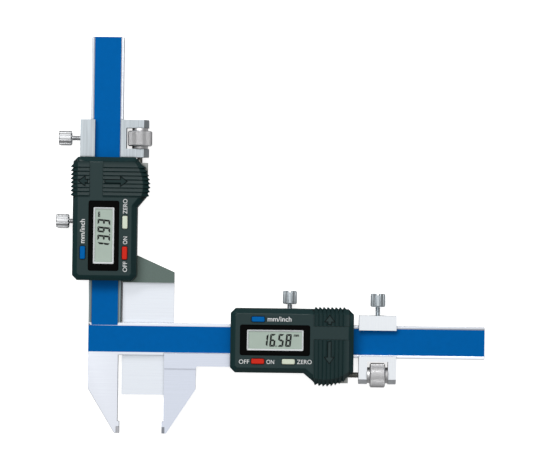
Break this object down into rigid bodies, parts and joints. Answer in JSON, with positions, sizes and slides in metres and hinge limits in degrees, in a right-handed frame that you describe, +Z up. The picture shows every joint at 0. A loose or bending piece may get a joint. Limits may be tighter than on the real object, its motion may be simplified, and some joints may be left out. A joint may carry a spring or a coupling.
{
  "type": "gear tooth caliper",
  "caption": "Gear tooth caliper with an L-shaped steel frame, a sliding jaw, a sliding depth tongue and a digital readout on each slider.",
  "frame": {"origin": "centre of the base of the bounding box, on the bench that the backs of the sliders lie on", "axes": "+X along the horizontal beam to its free end, +Y along the vertical beam to its free end, +Z up towards the displays"},
  "size_m": [0.213, 0.196, 0.0172],
  "materials": {
    "frame_steel": "fine ground stainless steel",
    "slider_steel": "fine ground stainless steel",
    "clamp_steel": "satin steel",
    "hard_metal": "ground hard metal",
    "strip_film": "blue printed film",
    "housing_plastic": "moulded dark green-grey ABS",
    "bezel_plastic": "black polished plastic",
    "white_plastic": "white moulded plastic",
    "display_glass": "grey-green reflective display",
    "contact_rubber": "banded rubber",
    "board_green": "solder mask",
    "switch_steel": "snap dome steel",
    "blue_button": "blue moulded plastic",
    "red_button": "red moulded plastic",
    "pale_button": "pale green moulded plastic",
    "cell_steel": "nickel-plated steel",
    "brass": "drawn brass",
    "dark_screw": "blackened steel",
    "screw_steel": "turned and fluted steel",
    "rod_steel": "threaded steel",
    "nut_steel": "knurled steel"
  },
  "bodies": {
    "root": {"main_frame": "frame_steel", "fixed_jaw_tip": "hard_metal", "h_scale_strip": "strip_film", "v_scale_strip": "strip_film"},
    "h_slider": {"h_slider_frame": "slider_steel", "h_jaw_tip": "hard_metal", "h_gib": "brass", "h_gib_screws": "dark_screw", "h_housing": "housing_plastic", "h_housing_screws": "dark_screw", "h_bezel": "bezel_plastic", "h_lcd_holder": "white_plastic", "h_lcd": "display_glass", "h_contact_strips": "contact_rubber", "h_circuit_board": "board_green", "h_dome_switches": "switch_steel", "h_battery": "cell_steel", "h_battery_contacts": "brass", "h_adjusting_rod": "rod_steel"},
    "h_clamp": {"h_clamp": "clamp_steel", "h_clamp_pad": "brass"},
    "h_adjusting_nut": {"h_adjusting_nut": "nut_steel"},
    "h_lock_screw": {"h_lock_screw": "screw_steel"},
    "h_clamp_lock_screw": {"h_clamp_lock_screw": "screw_steel"},
    "h_unit_button": {"h_unit_button": "blue_button"},
    "h_power_button": {"h_power_button": "red_button"},
    "h_zero_button": {"h_zero_button": "pale_button"},
    "h_battery_cover": {"h_battery_cover": "housing_plastic"},
    "h_port_cover": {"h_port_cover": "housing_plastic"},
    "v_slider": {"v_slider_frame": "slider_steel", "v_gib": "brass", "v_gib_screws": "dark_screw", "v_housing": "housing_plastic", "v_housing_screws": "dark_screw", "v_bezel": "bezel_plastic", "v_lcd_holder": "white_plastic", "v_lcd": "display_glass", "v_contact_strips": "contact_rubber", "v_circuit_board": "board_green", "v_dome_switches": "switch_steel", "v_battery": "cell_steel", "v_battery_contacts": "brass", "v_adjusting_rod": "rod_steel"},
    "v_clamp": {"v_clamp": "clamp_steel", "v_clamp_pad": "brass"},
    "v_adjusting_nut": {"v_adjusting_nut": "nut_steel"},
    "v_lock_screw": {"v_lock_screw": "screw_steel"},
    "v_clamp_lock_screw": {"v_clamp_lock_screw": "screw_steel"},
    "v_unit_button": {"v_unit_button": "blue_button"},
    "v_power_button": {"v_power_button": "red_button"},
    "v_zero_button": {"v_zero_button": "pale_button"},
    "v_battery_cover": {"v_battery_cover": "housing_plastic"},
    "v_port_cover": {"v_port_cover": "housing_plastic"}
  },
  "joints": [
    {"name": "h_slide", "type": "slide", "parent": "root", "child": "h_slider", "axis": [1, 0, 0], "range_m": [-0.0209, 0.038]},
    {"name": "h_clamp_slide", "type": "slide", "parent": "h_slider", "child": "h_clamp", "axis": [1, 0, 0], "range_m": [-0.0026, 0.0034]},
    {"name": "h_nut_spin", "type": "hinge", "parent": "h_clamp", "child": "h_adjusting_nut", "pos_m": [0.0536, -0.0677, 0.0063], "axis": [1, 0, 0], "range_deg": [-1873, 2449]},
    {"name": "h_lock_turn", "type": "hinge", "parent": "h_slider", "child": "h_lock_screw", "pos_m": [0.00985, -0.0313, 0.0041], "axis": [0, 1, 0], "range_deg": [-360, 90]},
    {"name": "h_clamp_lock_turn", "type": "hinge", "parent": "h_clamp", "child": "h_clamp_lock_screw", "pos_m": [0.0535, -0.0313, 0.0041], "axis": [0, 1, 0], "range_deg": [-360, 90]},
    {"name": "h_unit_press", "type": "slide", "parent": "h_slider", "child": "h_unit_button", "axis": [0, 0, 1], "range_m": [-0.0005, 0], "stiffness_N_per_m": 300, "springref_m": 0.0005},
    {"name": "h_power_press", "type": "slide", "parent": "h_slider", "child": "h_power_button", "axis": [0, 0, 1], "range_m": [-0.0005, 0], "stiffness_N_per_m": 300, "springref_m": 0.0005},
    {"name": "h_zero_press", "type": "slide", "parent": "h_slider", "child": "h_zero_button", "axis": [0, 0, 1], "range_m": [-0.0005, 0], "stiffness_N_per_m": 300, "springref_m": 0.0005},
    {"name": "h_battery_cover_slide", "type": "slide", "parent": "h_slider", "child": "h_battery_cover", "axis": [0, -1, 0], "range_m": [0, 0.016]},
    {"name": "h_port_cover_slide", "type": "slide", "parent": "h_slider", "child": "h_port_cover", "axis": [0, 1, 0], "range_m": [0, 0.008]},
    {"name": "v_slide", "type": "slide", "parent": "root", "child": "v_slider", "axis": [0, 1, 0], "range_m": [-0.0189, 0.034]},
    {"name": "v_clamp_slide", "type": "slide", "parent": "v_slider", "child": "v_clamp", "axis": [0, 1, 0], "range_m": [0, 0.006]},
    {"name": "v_nut_spin", "type": "hinge", "parent": "v_clamp", "child": "v_adjusting_nut", "pos_m": [-0.0653, 0.04785, 0.0063], "axis": [0, 1, 0], "range_deg": [-1, 4321]},
    {"name": "v_lock_turn", "type": "hinge", "parent": "v_slider", "child": "v_lock_screw", "pos_m": [-0.1017, 0.00665, 0.0041], "axis": [-1, 0, 0], "range_deg": [-360, 90]},
    {"name": "v_clamp_lock_turn", "type": "hinge", "parent": "v_clamp", "child": "v_clamp_lock_screw", "pos_m": [-0.1017, 0.04775, 0.0041], "axis": [-1, 0, 0], "range_deg": [-360, 90]},
    {"name": "v_unit_press", "type": "slide", "parent": "v_slider", "child": "v_unit_button", "axis": [0, 0, 1], "range_m": [-0.0005, 0], "stiffness_N_per_m": 300, "springref_m": 0.0005},
    {"name": "v_power_press", "type": "slide", "parent": "v_slider", "child": "v_power_button", "axis": [0, 0, 1], "range_m": [-0.0005, 0], "stiffness_N_per_m": 300, "springref_m": 0.0005},
    {"name": "v_zero_press", "type": "slide", "parent": "v_slider", "child": "v_zero_button", "axis": [0, 0, 1], "range_m": [-0.0005, 0], "stiffness_N_per_m": 300, "springref_m": 0.0005},
    {"name": "v_battery_cover_slide", "type": "slide", "parent": "v_slider", "child": "v_battery_cover", "axis": [1, 0, 0], "range_m": [0, 0.016]},
    {"name": "v_port_cover_slide", "type": "slide", "parent": "v_slider", "child": "v_port_cover", "axis": [-1, 0, 0], "range_m": [0, 0.008]}
  ],
  "couplings": [
    {"joint": "h_nut_spin", "follows": "h_clamp_slide", "rad_per_m": 12566},
    {"joint": "v_nut_spin", "follows": "v_clamp_slide", "rad_per_m": 12566}
  ]
}
